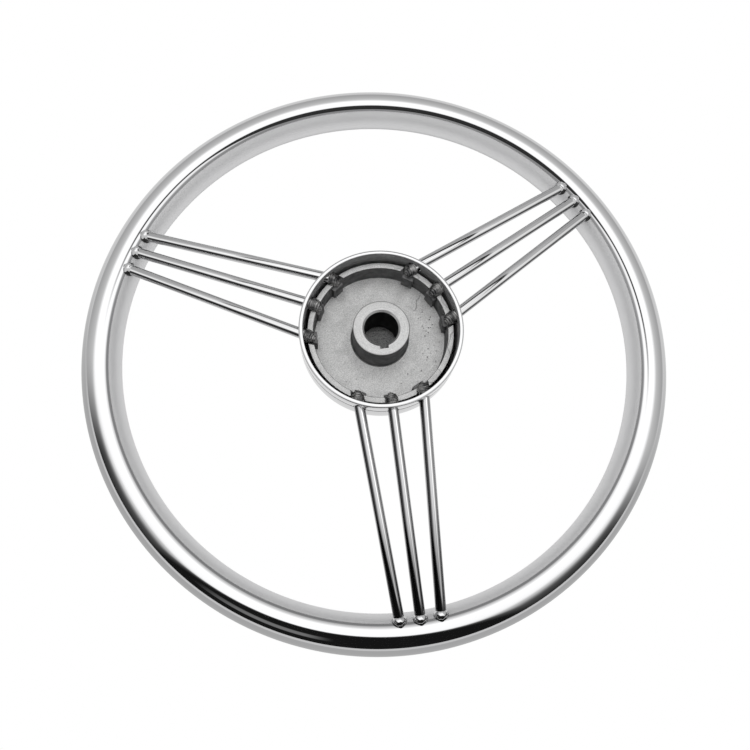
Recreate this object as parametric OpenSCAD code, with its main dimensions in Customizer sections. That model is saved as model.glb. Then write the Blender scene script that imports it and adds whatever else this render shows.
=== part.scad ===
// Ship steering wheel: a stainless tube rim, nine rod spokes in three groups of three, and a dished
// hub made of a cast core inside two polished shells, with a pull-off cap over the shaft nut.
// The wheel lies face down: Z = 0 is the plane that the rim rests on, +Z is the axis towards the
// helm, and the shaft enters the hub from above. The bottom spoke group points along -Y.

/* [Rim] */
// Overall diameter of the wheel, over the rim tube
wheel_d = 350; // [290:5:420]
// Outside diameter of the rim tube
rim_tube_d = 23; // [19:0.5:28]
// Wall thickness of the rim tube
rim_wall = 1.5; // [1:0.1:3]

/* [Spokes] */
// Diameter of a spoke rod
spoke_d = 6; // [4.5:0.25:7.5]
// Angle between a group's middle rod and its outer rods, at the outside of the hub
hub_spread = 23.2; // [19:0.2:28]
// The same angle where the rods meet the rim tube
rim_spread = 4.25; // [3.5:0.25:6]
// Where the rods meet the rim tube's section, from its inside (0) towards its rear (90)
spoke_seat_angle = 50; // [42:1:58]
// Depth of the rods' axes below the hub's rear lip, at the outside of the hub
spoke_drop = 8.2; // [7.5:0.1:9.5]
// Length of rod inside the hub, from its outside
spoke_inset = 5.4; // [5:0.1:7]

/* [Hub shells] */
// Outside diameter of the hub
hub_d = 91; // [76:1:110]
// Height of the hub's rear lip above the plane that the rim rests on
hub_rear_z = 58; // [50:1:70]
// Wall thickness of the two shells
hub_wall = 2.3; // [1.5:0.1:2.8]
// Radius on the outer edge of the rear lip
lip_round = 1; // [0.4:0.1:1.4]
// Depth of the seam between the shells, below the rear lip
seam_drop = 8.3; // [7.5:0.1:9.5]
// Width of that seam
seam_gap = 0.3; // [0.2:0.05:0.6]
// Space around a rod where it passes through the shells
rod_hole_clearance = 1.4; // [0.8:0.1:2]
// Depth of the hub's straight side, below the rear lip
side_depth = 18.6; // [16:0.2:22]
// Radius of the shoulder between the side and the front face
shoulder_r = 16; // [14:0.5:18]

/* [Hub casting] */
// Outside diameter of the boss that takes the shaft
boss_d = 31.5; // [26:0.5:38]
// Depth of the boss's rear face below the rear lip
boss_drop = 1.7; // [0:0.1:4]
// Diameter of the shaft bore
bore_d = 19.05; // [15.9:0.05:22.9]
// Length of the bore, from the rear face of the boss
bore_length = 28; // [26.5:0.5:29]
// Chamfer at both ends of the bore
bore_chamfer = 1; // [0.3:0.1:1.5]
// Width of the keyway
keyway_w = 4.8; // [4:0.1:6]
// Depth of the keyway beyond the bore's wall
keyway_depth = 2.3; // [1.5:0.1:3]
// Depth of the plate's rear face below the rear lip
plate_drop = 22; // [19:0.5:24]
// Thickness of the plate
plate_t = 6; // [4:0.5:7]
// Depth of the upstand ring's top below the rear lip
ring_drop = 8; // [7:0.1:9.5]
// Thickness of the upstand ring
ring_t = 3.3; // [2.5:0.1:4.5]
// Space between the upstand ring and the shells
ring_gap = 2.2; // [1:0.1:3]
// Width of the lug below each rod's end
lug_w = 6.8; // [5:0.1:7.2]
// How far each lug stands inward from the upstand ring
lug_proud = 2.2; // [1:0.1:3]
// Fillet radius where the boss and the ring meet the plate
cast_fillet = 1.5; // [0.8:0.1:2.5]
// Clearance between the casting and the front shell that it sits in
casting_fit = 0.1; // [0.05:0.05:0.3]

/* [Weld beads] */
// Diameter of the bead around each rod at the rim tube
rim_bead_d = 8.8; // [8:0.1:10]
// Diameter of the bead over each rod's end in the hub
hub_bead_d = 7.6; // [7:0.1:9]
// Gap between that bead and its notch in the upstand ring
bead_fit = 0.1; // [0.05:0.05:0.3]

/* [Centre cap] */
// Diameter of the opening in the front of the hub
opening_d = 54; // [44:0.5:60]
// Thickness of the collar around the opening
collar_t = 2; // [1.5:0.1:3]
// Height of that collar
collar_h = 6; // [5:0.1:6.3]
// How far the cap's edge laps over the front of the hub
cap_lap = 2.5; // [1.5:0.1:4]
// Thickness of the cap's edge
cap_edge_t = 1.5; // [1:0.1:2.5]
// Height of the cap's dome
cap_dome_h = 5.5; // [3:0.5:9]
// Wall thickness of the cap's dome
cap_wall = 1.8; // [1.2:0.1:2.5]
// Gap between the cap's edge and the front of the hub
cap_gap = 0.3; // [0.2:0.05:0.6]
// Thickness of the cap's skirt
skirt_t = 2.6; // [2.2:0.1:3.5]
// Length of the cap's skirt
skirt_h = 5.4; // [4.5:0.1:5.6]
// Radial clearance between the skirt and the collar
skirt_fit = 0.1; // [0.05:0.05:0.3]
// Thickness of the rubber ring, squeezed in its groove
seal_d = 1.4; // [1:0.1:1.6]
// Radial clearance between the rubber ring and the collar
seal_fit = 0.05; // [0.02:0.01:0.1]

/* [Hidden] */
$fn = 240;
eps = 0.01;

// Directions of the three spoke groups, and the places of the rods within a group
right = 30;
left = 150;
bottom = 270;
ROD_PLACES = [-1, 0, 1];
GROUPS = [right, left, bottom];

rim_tube_r = rim_tube_d / 2;
rim_r = wheel_d / 2 - rim_tube_r;
rim_z = rim_tube_r;
seat_r = rim_r - rim_tube_r * cos(spoke_seat_angle);
seat_z = rim_z + rim_tube_r * sin(spoke_seat_angle);

hub_r = hub_d / 2;
spoke_z = hub_rear_z - spoke_drop;
seam_z = hub_rear_z - seam_drop;
side_z = hub_rear_z - side_depth;
front_z = side_z - shoulder_r;
shoulder_centre_r = hub_r - shoulder_r;
rod_hole_d = spoke_d + 2 * rod_hole_clearance;

boss_r = boss_d / 2;
boss_z = hub_rear_z - boss_drop;
bore_front_z = boss_z - bore_length;
plate_z = hub_rear_z - plate_drop;
plate_front_z = plate_z - plate_t;
ring_z = hub_rear_z - ring_drop;
ring_outer_r = hub_r - hub_wall - ring_gap;
ring_inner_r = ring_outer_r - ring_t;
notch_d = hub_bead_d + 2 * bead_fit;

opening_r = opening_d / 2;
cap_edge_z = front_z - cap_gap;
cap_dome_z = cap_edge_z - cap_edge_t;
cap_r = opening_r + cap_lap;
cap_sphere_r = (pow(cap_r, 2) + pow(cap_dome_h, 2)) / (2 * cap_dome_h);
skirt_r = opening_r - skirt_fit;
seal_centre_r = opening_r - seal_fit - seal_d / 2;
seal_z = cap_edge_z + skirt_h / 2;
groove_w = seal_d + 0.4;

function polar(radius, angle, z) = [radius * cos(angle), radius * sin(angle), z];
function hub_point(group, place) = polar(hub_r, group + place * hub_spread, spoke_z);
function rim_point(group, place) = polar(seat_r, group + place * rim_spread, seat_z);
function rod_run(group, place) = rim_point(group, place) - hub_point(group, place);
function rod_dir(group, place) = rod_run(group, place) / norm(rod_run(group, place));
function rod_end(group, place) = hub_point(group, place) - spoke_inset * rod_dir(group, place);

// Places children on a rod's axis: its zero is at the outside of the hub and its Z runs to the rim
module on_rod(group, place) {
    dir = rod_dir(group, place);
    translate(hub_point(group, place))
        rotate([0, acos(dir.z), atan2(dir.y, dir.x)])
            children();
}

module rim_solid() {
    translate([0, 0, rim_z])
        rotate_extrude()
            translate([rim_r, 0])
                circle(rim_tube_r);
}

module rim_tube() {
    color("gainsboro")
        translate([0, 0, rim_z])
            rotate_extrude()
                translate([rim_r, 0])
                    difference() {
                        circle(rim_tube_r);
                        circle(rim_tube_r - rim_wall);
                    }
}

// A straight rod, coped to the rim tube at its outer end
module spoke(group, place) {
    reach = norm(rod_run(group, place)) + rim_tube_r / 2;
    color("silver")
        difference() {
            on_rod(group, place)
                translate([0, 0, -spoke_inset])
                    cylinder(h = spoke_inset + reach, d = spoke_d);
            rim_solid();
        }
}

// The collar of weld around each rod of a group, where it meets the rim tube
module rim_welds(group) {
    color("white")
        for (place = ROD_PLACES) {
            run = norm(rod_run(group, place));
            difference() {
                on_rod(group, place)
                    translate([0, 0, run])
                        sphere(d = rim_bead_d);
                on_rod(group, place)
                    cylinder(h = run + rim_bead_d, d = spoke_d);
                rim_solid();
            }
        }
}

// The thimble of weld over each rod's end in the hub, which lies in a notch of the upstand ring
module hub_welds(group) {
    color("dimgray")
        for (place = ROD_PLACES)
            on_rod(group, place)
                translate([0, 0, -spoke_inset])
                    rotate_extrude()
                        hub_bead_section();
}

// Half-section of that thimble: a sleeve round the rod, with a round closed end over it
module hub_bead_section() {
    bead_r = hub_bead_d / 2;
    length = spoke_inset - hub_wall - ring_gap / 2;
    difference() {
        union() {
            intersection() {
                circle(bead_r);
                translate([0, -bead_r])
                    square(bead_r);
            }
            square([bead_r, length]);
        }
        square([spoke_d / 2, length + eps]);
    }
}

// Half-section of the hub's outside, moved inward by inset, from the front face up to top_z
module hub_outline(inset, top_z) {
    intersection() {
        union() {
            translate([0, front_z + inset])
                square([shoulder_centre_r, top_z - front_z]);
            translate([shoulder_centre_r, side_z])
                circle(shoulder_r - inset);
            translate([0, side_z])
                square([hub_r - inset, top_z - side_z]);
        }
        translate([0, front_z])
            square([hub_r, top_z - front_z]);
    }
}

module casting_section() {
    translate([0, plate_front_z])
        square([ring_outer_r, plate_t]);
    translate([ring_inner_r, plate_front_z])
        square([ring_t, ring_z - plate_front_z]);
    translate([0, bore_front_z])
        square([boss_r, bore_length]);
    translate([boss_r, plate_z])
        difference() {
            square(cast_fillet);
            translate([cast_fillet, cast_fillet])
                circle(cast_fillet);
        }
}

// Block under a rod's end, standing inward from the upstand ring
module lug(group, place) {
    end = rod_end(group, place);
    top_z = end.z - hub_bead_d / 2 - bead_fit;
    rotate([0, 0, atan2(end.y, end.x)])
        translate([ring_inner_r - lug_proud, -lug_w / 2, plate_z - eps])
            cube([lug_proud + ring_t / 2, lug_w, top_z - plate_z + eps]);
}

module bore_cut() {
    mouth_r = bore_d / 2 + bore_chamfer;
    translate([0, 0, bore_front_z - eps])
        cylinder(h = bore_length + 2 * eps, d = bore_d);
    translate([0, 0, boss_z - bore_chamfer])
        cylinder(h = bore_chamfer + eps, r1 = bore_d / 2, r2 = mouth_r + eps);
    translate([0, 0, bore_front_z - eps])
        cylinder(h = bore_chamfer + eps, r1 = mouth_r + eps, r2 = bore_d / 2);
    rotate([0, 0, bottom])
        translate([0, -keyway_w / 2, bore_front_z - eps])
            cube([bore_d / 2 + keyway_depth, keyway_w, bore_length + 2 * eps]);
}

// The cast core: a plate with the shaft boss in the middle and an upstand ring round its edge
module hub_casting() {
    notch_start = spoke_inset + hub_bead_d / 2 + lug_proud;
    color("darkgray")
        difference() {
            union() {
                rotate_extrude()
                    intersection() {
                        casting_section();
                        hub_outline(hub_wall + casting_fit, hub_rear_z);
                    }
                for (group = GROUPS, place = ROD_PLACES)
                    lug(group, place);
            }
            bore_cut();
            for (group = GROUPS, place = ROD_PLACES)
                on_rod(group, place)
                    translate([0, 0, -notch_start])
                        cylinder(h = notch_start, d = notch_d);
        }
}

module rod_holes() {
    for (group = GROUPS, place = ROD_PLACES)
        on_rod(group, place)
            translate([0, 0, -spoke_inset])
                cylinder(h = 2 * spoke_inset, d = rod_hole_d);
}

// The band with the rear lip, notched from below for the rods
module hub_rear_shell() {
    band_h = seam_drop - seam_gap / 2;
    color("whitesmoke")
        difference() {
            translate([0, 0, hub_rear_z - band_h])
                rotate_extrude()
                    difference() {
                        translate([hub_r - hub_wall, 0])
                            square([hub_wall, band_h]);
                        translate([hub_r - lip_round, band_h - lip_round])
                            difference() {
                                square(lip_round + eps);
                                circle(lip_round);
                            }
                    }
            rod_holes();
        }
}

// The pressed bowl that forms the front of the hub, with a collar for the cap
module hub_front_shell() {
    top_z = seam_z - seam_gap / 2;
    color("whitesmoke")
        difference() {
            rotate_extrude() {
                difference() {
                    hub_outline(0, top_z);
                    hub_outline(hub_wall, top_z + eps);
                    square([opening_r, hub_rear_z]);
                }
                translate([opening_r, front_z])
                    square([collar_t, collar_h]);
            }
            rod_holes();
        }
}

// The domed cap: its skirt slides in the collar and carries the rubber ring
module centre_cap() {
    centre_z = cap_dome_z - cap_dome_h + cap_sphere_r;
    color("whitesmoke")
        rotate_extrude()
            difference() {
                union() {
                    intersection() {
                        difference() {
                            translate([0, centre_z])
                                circle(cap_sphere_r);
                            translate([0, centre_z])
                                circle(cap_sphere_r - cap_wall);
                        }
                        translate([0, cap_dome_z - cap_dome_h])
                            square([cap_r, cap_dome_h]);
                    }
                    translate([skirt_r - skirt_t, cap_dome_z])
                        square([cap_r - skirt_r + skirt_t, cap_edge_t]);
                    translate([skirt_r - skirt_t, cap_dome_z])
                        square([skirt_t, cap_edge_t + skirt_h]);
                }
                translate([seal_centre_r - seal_d / 2, seal_z - groove_w / 2])
                    square([seal_d + skirt_t, groove_w]);
            }
}

module cap_o_ring() {
    color("black")
        translate([0, 0, seal_z])
            rotate_extrude()
                translate([seal_centre_r, 0])
                    circle(seal_d / 2);
}

rim_tube();
spoke(right, 1);  // spoke_right_upper
spoke(right, 0);  // spoke_right_middle
spoke(right, -1);  // spoke_right_lower
spoke(left, -1);  // spoke_left_upper
spoke(left, 0);  // spoke_left_middle
spoke(left, 1);  // spoke_left_lower
spoke(bottom, -1);  // spoke_bottom_left
spoke(bottom, 0);  // spoke_bottom_middle
spoke(bottom, 1);  // spoke_bottom_right
rim_welds(right);  // rim_welds_right
rim_welds(left);  // rim_welds_left
rim_welds(bottom);  // rim_welds_bottom
hub_welds(right);  // hub_welds_right
hub_welds(left);  // hub_welds_left
hub_welds(bottom);  // hub_welds_bottom
hub_casting();
hub_rear_shell();
hub_front_shell();
centre_cap();
cap_o_ring();
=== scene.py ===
"""Looks of a dished stainless boat steering wheel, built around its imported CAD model.

The wheel lies face down. Z is the shaft's axis, the rim rests on Z = 0, and the bottom group of rods
points along -Y. All lengths are in metres, and MM turns millimetres into them.
"""

import logging
import math
import random
from collections.abc import Callable, Iterator
from contextlib import contextmanager
from dataclasses import dataclass, field
from enum import Enum

import bmesh
import bpy
from mathutils import Matrix, Vector


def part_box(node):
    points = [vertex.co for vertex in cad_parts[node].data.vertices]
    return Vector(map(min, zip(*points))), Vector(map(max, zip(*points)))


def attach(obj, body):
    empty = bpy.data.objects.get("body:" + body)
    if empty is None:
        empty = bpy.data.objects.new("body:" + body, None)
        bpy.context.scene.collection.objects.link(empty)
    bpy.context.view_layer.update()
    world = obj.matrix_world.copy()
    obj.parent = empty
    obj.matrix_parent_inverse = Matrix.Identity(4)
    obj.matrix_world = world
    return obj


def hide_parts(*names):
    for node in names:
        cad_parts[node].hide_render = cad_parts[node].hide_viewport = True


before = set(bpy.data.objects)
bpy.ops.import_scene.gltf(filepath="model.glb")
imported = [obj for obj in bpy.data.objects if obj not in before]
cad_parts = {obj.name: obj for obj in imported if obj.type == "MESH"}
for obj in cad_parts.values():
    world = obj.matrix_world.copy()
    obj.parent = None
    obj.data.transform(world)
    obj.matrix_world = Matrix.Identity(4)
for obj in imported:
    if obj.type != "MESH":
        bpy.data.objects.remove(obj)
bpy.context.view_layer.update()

MM = 0.001
FULL_TURN = 2 * math.pi
SHARP_ANGLE = math.radians(32)
LUMPY_ANGLE = math.radians(60)
BEAD_ANGLE = math.radians(50)
ROD_SIDES = 64
WELD_DISTANCE = 1e-6

log = logging.getLogger("wheel")

Point = tuple[float, float]
Span = tuple[float, float]
Colour = tuple[float, float, float, float]
FaceTest = Callable[[bmesh.types.BMFace], bool]


class Body(Enum):
    """The moving bodies of the CAD model."""

    WHEEL = "wheel"
    CAP = "cap"


class Slot(Enum):
    """The record's material slots."""

    POLISHED = "polished_stainless"
    CAST = "cast_stainless"
    WELD = "weld_metal"
    RUBBER = "seal_rubber"


class Group(Enum):
    """The three groups of rods, by the names of their nodes."""

    RIGHT = ("spoke_right_upper", "spoke_right_middle", "spoke_right_lower")
    LEFT = ("spoke_left_upper", "spoke_left_middle", "spoke_left_lower")
    BOTTOM = ("spoke_bottom_left", "spoke_bottom_middle", "spoke_bottom_right")

    @property
    def word(self) -> str:
        """The group's word in its nodes' names."""
        return self.name.lower()


# ---------------------------------------------------------------- bench: modelling steps


def take(*pieces: bpy.types.Object) -> None:
    """Selects these objects alone, and makes the first of them the active one.

    Args:
        pieces: the objects; the first one becomes the active one.
    """
    bpy.ops.object.select_all(action="DESELECT")
    for piece in pieces:
        piece.select_set(True)
    bpy.context.view_layer.objects.active = pieces[0]


@contextmanager
def editing(piece: bpy.types.Object, kind: str = "FACE") -> Iterator[bmesh.types.BMesh]:
    """Opens a piece in edit mode with nothing selected, and closes it again.

    Args:
        piece: the mesh object to edit.
        kind: what is selected in it: VERT, EDGE or FACE.
    """
    take(piece)
    bpy.ops.object.mode_set(mode="EDIT")
    bpy.ops.mesh.select_mode(type=kind)
    bpy.ops.mesh.select_all(action="DESELECT")
    yield bmesh.from_edit_mesh(piece.data)
    bpy.ops.object.mode_set(mode="OBJECT")


def pick_faces(piece: bpy.types.Object, mesh: bmesh.types.BMesh, test: FaceTest) -> int:
    """Selects the faces that pass a test.

    Args:
        piece: the object that is open in edit mode.
        mesh: its edit mesh.
        test: says whether a face is wanted.

    Returns:
        How many faces were selected.
    """
    found = 0
    for face in mesh.faces:
        wanted = test(face)
        face.select_set(wanted)
        found += wanted
    bmesh.update_edit_mesh(piece.data)
    return found


def settle(piece: bpy.types.Object) -> None:
    """Puts a piece's place, turn and scale into its mesh."""
    take(piece)
    bpy.ops.object.transform_apply(location=True, rotation=True, scale=True)


def smooth(piece: bpy.types.Object, angle: float = SHARP_ANGLE) -> None:
    """Shades a piece smooth, except at edges sharper than the angle."""
    take(piece)
    bpy.ops.object.shade_smooth_by_angle(angle=angle)


def turned(name: str, outline: list[Point], steps: int, place: Matrix | None = None) -> bpy.types.Object:
    """Spins an outline about an axis, as on a lathe.

    Args:
        name: the new piece's name.
        outline: points (radius, height) along the axis; a closed one ends on its first point.
        steps: how many steps make a full turn.
        place: where the axis lies, its Z being the axis; the wheel's own axis if left out.

    Returns:
        The new piece.
    """
    place = place or Matrix.Identity(4)
    spots = [place @ Vector((radius, 0, height)) for radius, height in outline]
    bpy.ops.object.select_all(action="DESELECT")
    bpy.ops.mesh.primitive_plane_add(size=MM)
    piece = bpy.context.object
    piece.name = name
    with editing(piece, "VERT"):
        bpy.ops.mesh.select_all(action="SELECT")
        bpy.ops.mesh.merge(type="CENTER")
        bpy.ops.transform.translate(value=spots[0])
        for here, there in zip(spots, spots[1:]):
            bpy.ops.mesh.extrude_vertices_move(TRANSFORM_OT_translate={"value": there - here})
        bpy.ops.mesh.select_all(action="SELECT")
        axis = place.to_3x3() @ Vector((0, 0, 1))
        bpy.ops.mesh.spin(steps=steps, angle=FULL_TURN, center=place.translation, axis=axis)
        bpy.ops.mesh.select_all(action="SELECT")
        bpy.ops.mesh.remove_doubles(threshold=WELD_DISTANCE)
        bpy.ops.mesh.normals_make_consistent(inside=False)
    return piece


def arc(centre: Point, radius: float, start: float, end: float, steps: int) -> list[Point]:
    """Points along an arc, both ends included.

    Args:
        centre: the arc's centre (radius, height).
        radius: the arc's own radius.
        start: the first point's angle in degrees.
        end: the last point's angle in degrees.
        steps: how many steps lie between them.

    Returns:
        The points.
    """
    angles = [math.radians(start + (end - start) * i / steps) for i in range(steps + 1)]
    return [(centre[0] + radius * math.cos(a), centre[1] + radius * math.sin(a)) for a in angles]


def rounded(corners: list[tuple[float, float, float]], steps: int = 5) -> list[Point]:
    """A closed outline from corners that each have a rounding radius.

    Args:
        corners: (radius, height, rounding) of each corner in order.
        steps: how many steps each rounding takes.

    Returns:
        The outline's points, the last one on the first.
    """
    points: list[Point] = []
    for i, (x, y, rounding) in enumerate(corners):
        here = Vector((x, y))
        before = (Vector(corners[i - 1][:2]) - here).normalized()
        after = (Vector(corners[(i + 1) % len(corners)][:2]) - here).normalized()
        half = math.acos(max(-1, min(1, before.dot(after)))) / 2
        if rounding <= 0 or half > math.radians(89):
            points.append((x, y))
            continue
        centre = here + (before + after).normalized() * rounding / math.sin(half)
        first = here + before * rounding / math.tan(half) - centre
        last = here + after * rounding / math.tan(half) - centre
        sweep = first.angle_signed(last)
        for k in range(steps + 1):
            turn = -sweep * k / steps
            x_turned = first.x * math.cos(turn) - first.y * math.sin(turn)
            y_turned = first.x * math.sin(turn) + first.y * math.cos(turn)
            points.append((centre.x + x_turned, centre.y + y_turned))
    return points + points[:1]


def combine(piece: bpy.types.Object, tool: bpy.types.Object, way: str, keep_tool: bool = False) -> None:
    """Cuts, joins or crosses a piece with a tool.

    Args:
        piece: the piece that changes.
        tool: the closed mesh that it meets.
        way: DIFFERENCE, UNION or INTERSECT.
        keep_tool: whether the tool stays for another use.
    """
    take(piece)
    cut = piece.modifiers.new("combine", "BOOLEAN")
    cut.operation = way
    cut.object = tool
    cut.solver = "EXACT"
    bpy.ops.object.modifier_apply(modifier=cut.name)
    if not keep_tool:
        bpy.data.objects.remove(tool)


def joined(name: str, pieces: list[bpy.types.Object]) -> bpy.types.Object:
    """Joins pieces into one object of that name.

    Args:
        name: the joined object's name.
        pieces: the objects; the first one takes in the others.

    Returns:
        The joined object.
    """
    take(*pieces)
    if len(pieces) > 1:
        bpy.ops.object.join()
    pieces[0].name = name
    return pieces[0]


def copies(model: bpy.types.Object, places: list[Matrix]) -> list[bpy.types.Object]:
    """Puts a copy of a model, with its own mesh, at each place, and takes the model away.

    Args:
        model: the finished model at the origin.
        places: where its copies go.

    Returns:
        The copies.
    """
    made = []
    for place in places:
        take(model)
        bpy.ops.object.duplicate(linked=False)
        made.append(bpy.context.object)
        made[-1].matrix_world = place
        settle(made[-1])
    bpy.data.objects.remove(model)
    return made


def assign(piece: bpy.types.Object, material: bpy.types.Material, test: FaceTest) -> None:
    """Gives the faces that pass a test a material of their own.

    Args:
        piece: the piece, which already has its main material.
        material: the material that the faces get.
        test: says whether a face is wanted.
    """
    piece.data.materials.append(material)
    with editing(piece) as mesh:
        pick_faces(piece, mesh, test)
        piece.active_material_index = len(piece.data.materials) - 1
        bpy.ops.object.material_slot_assign()


def paint(piece: bpy.types.Object, material: bpy.types.Material) -> None:
    """Gives a whole piece one material."""
    piece.data.materials.clear()
    piece.data.materials.append(material)


def dress(
    piece: bpy.types.Object, material: bpy.types.Material, body: Body, slot: Slot, *nodes: str
) -> None:
    """Gives a finished piece its material and its body, and hides the CAD nodes that it stands for.

    Args:
        piece: the finished piece.
        material: its main material.
        body: the body that it moves with.
        slot: the record's slot that its finish comes from; not used.
        nodes: the CAD nodes that it replaces.
    """
    if not piece.data.materials:
        piece.data.materials.append(material)
    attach(piece, body.value)
    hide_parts(*nodes)
    log.info("%s: %d faces", piece.name, len(piece.data.polygons))


# ---------------------------------------------------------------- shader bench


class Wire:
    """A socket that takes part in Python arithmetic."""

    def __init__(self, shader: "Shader", socket: bpy.types.NodeSocket) -> None:
        """Holds the socket and the shader that it belongs to."""
        self.shader = shader
        self.socket = socket

    def _math(self, operation: str, first: "Wire | float", second: "Wire | float") -> "Wire":
        """Adds one Math node."""
        return self.shader.node("ShaderNodeMath", {"operation": operation}, {0: first, 1: second})

    def __add__(self, other: "Wire | float") -> "Wire":
        """self + other."""
        return self._math("ADD", self, other)

    __radd__ = __add__

    def __mul__(self, other: "Wire | float") -> "Wire":
        """self * other."""
        return self._math("MULTIPLY", self, other)

    __rmul__ = __mul__

    def __sub__(self, other: "Wire | float") -> "Wire":
        """self - other."""
        return self._math("SUBTRACT", self, other)

    def __rsub__(self, other: "Wire | float") -> "Wire":
        """other - self."""
        return self._math("SUBTRACT", other, self)

    def __truediv__(self, other: "Wire | float") -> "Wire":
        """self / other."""
        return self._math("DIVIDE", self, other)

    def __pow__(self, other: "Wire | float") -> "Wire":
        """self ** other."""
        return self._math("POWER", self, other)

    def fade(self, low: float, high: float) -> "Wire":
        """Rises smoothly from 0 at low to 1 at high."""
        inputs = {"Value": self, "From Min": low, "From Max": high}
        return self.shader.node("ShaderNodeMapRange", {"interpolation_type": "SMOOTHSTEP"}, inputs)


class Shader:
    """One material's or world's node tree."""

    def __init__(self, owner: bpy.types.Material | bpy.types.World) -> None:
        """Starts an empty node tree on its owner.

        Args:
            owner: the material or world that the nodes belong to.
        """
        owner.use_nodes = True
        self.tree = owner.node_tree
        self.tree.nodes.clear()

    def node(
        self, kind: str, settings: dict | None = None, inputs: dict | None = None, out: int | str = 0
    ) -> Wire | None:
        """Adds any node.

        Args:
            kind: the node's type.
            settings: its own settings; "stops" are a ramp's (place, grey) stops.
            inputs: values or wires of its sockets, by name or number.
            out: the output that is wanted.

        Returns:
            That output as a Wire.
        """
        made = self.tree.nodes.new(kind)
        for key, value in (settings or {}).items():
            if key == "stops":
                self._set_stops(made.color_ramp, value)
            else:
                setattr(made, key, value)
        for key, value in (inputs or {}).items():
            socket = made.inputs[key]
            if isinstance(value, Wire):
                self.tree.links.new(value.socket, socket)
            elif socket.type == "RGBA" and not hasattr(value, "__len__"):
                socket.default_value = (value, value, value, 1)
            else:
                socket.default_value = value
        return Wire(self, made.outputs[out]) if made.outputs else None

    @staticmethod
    def _set_stops(ramp: bpy.types.ColorRamp, stops: list[Point]) -> None:
        """Sets a ramp's grey stops.

        Args:
            ramp: the ramp.
            stops: its (place, grey) stops in order.
        """
        while len(ramp.elements) < len(stops):
            ramp.elements.new(1)
        for element, (place, grey) in zip(ramp.elements, stops):
            element.position = place
            element.color = (grey, grey, grey, 1)

    def spot(self) -> Wire:
        """The place on the object, in metres."""
        return self.node("ShaderNodeTexCoord", out="Object")

    def parts(self, vector: Wire) -> tuple[Wire, Wire, Wire]:
        """A vector's X, Y and Z."""
        split = self.node("ShaderNodeSeparateXYZ", None, {0: vector}).socket.node
        return tuple(Wire(self, split.outputs[i]) for i in range(3))

    def vector(self, x: Wire | float, y: Wire | float, z: Wire | float) -> Wire:
        """A vector from its X, Y and Z."""
        return self.node("ShaderNodeCombineXYZ", None, {0: x, 1: y, 2: z})

    def noise(self, place: Wire, scale: float, detail: float = 2, rough: float = 0.5) -> Wire:
        """Soft noise from 0 to 1, with its scale in cycles for each metre."""
        inputs = {"Vector": place, "Scale": scale, "Detail": detail, "Roughness": rough}
        return self.node("ShaderNodeTexNoise", None, inputs)

    def cells(self, place: Wire, scale: float) -> Wire:
        """Distance to the nearest of scattered points, in cells."""
        return self.node("ShaderNodeTexVoronoi", None, {"Vector": place, "Scale": scale}, "Distance")

    def ramp(self, value: Wire, stops: list[Point]) -> Wire:
        """A grey for each value, between stops."""
        return self.node("ShaderNodeValToRGB", {"stops": stops}, {"Fac": value})

    def blend(self, factor: Wire, low: tuple, high: tuple) -> Wire:
        """A colour between two, by a factor."""
        mix = self.node("ShaderNodeMix", {"data_type": "RGBA"}, {"Factor": factor, 6: low, 7: high})
        return Wire(self, mix.socket.node.outputs[2])

    def bump(self, height: Wire, depth: float, strength: float = 1.0) -> Wire:
        """A bumped normal from a height of 0 to 1 that is worth depth metres."""
        inputs = {"Height": height, "Distance": depth, "Strength": strength}
        return self.node("ShaderNodeBump", None, inputs)

    def steel(
        self, colour: Wire | tuple, roughness: Wire | float, normal: Wire, metallic: float = 1.0
    ) -> None:
        """Ends a material with a metal surface, or a plain one if metallic is 0.

        Args:
            colour: the base colour.
            roughness: the roughness.
            normal: the bumped normal.
            metallic: 1 for metal, 0 for anything else.
        """
        inputs = {"Base Color": colour, "Roughness": roughness, "Metallic": metallic, "Normal": normal}
        surface = self.node("ShaderNodeBsdfPrincipled", None, inputs)
        self.end(surface, "ShaderNodeOutputMaterial")

    def lamp(self, colour: Wire | tuple, cover: Wire | None = None) -> None:
        """Ends a material with a surface that glows by itself, and is clear where its cover is 0.

        Args:
            colour: the colour that it gives off.
            cover: where it is solid; everywhere if left out.
        """
        surface = self.node("ShaderNodeEmission", None, {"Color": colour})
        if cover is not None:
            clear = self.node("ShaderNodeBsdfTransparent")
            surface = self.node("ShaderNodeMixShader", None, {0: cover, 1: clear, 2: surface})
        self.end(surface, "ShaderNodeOutputMaterial")

    def end(self, surface: Wire, output: str) -> None:
        """Links a surface to a new output node of that type."""
        self.node(output, None, {"Surface": surface})

    def around(self) -> tuple[Wire, Wire, Wire]:
        """Distance from the wheel's axis, height, and a place that changes slowly around the axis.

        Returns:
            The three of them.
        """
        x, y, z = self.parts(self.spot())
        flat = self.vector(x, y, 0)
        radius = self.node("ShaderNodeVectorMath", {"operation": "LENGTH"}, {0: flat}, "Value")
        return radius, z, self.node("ShaderNodeVectorMath", {"operation": "NORMALIZE"}, {0: flat})


def new_shader(name: str) -> tuple[bpy.types.Material, Shader]:
    """A new material and its empty shader."""
    material = bpy.data.materials.new(name)
    return material, Shader(material)


# ---------------------------------------------------------------- finishes


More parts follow.
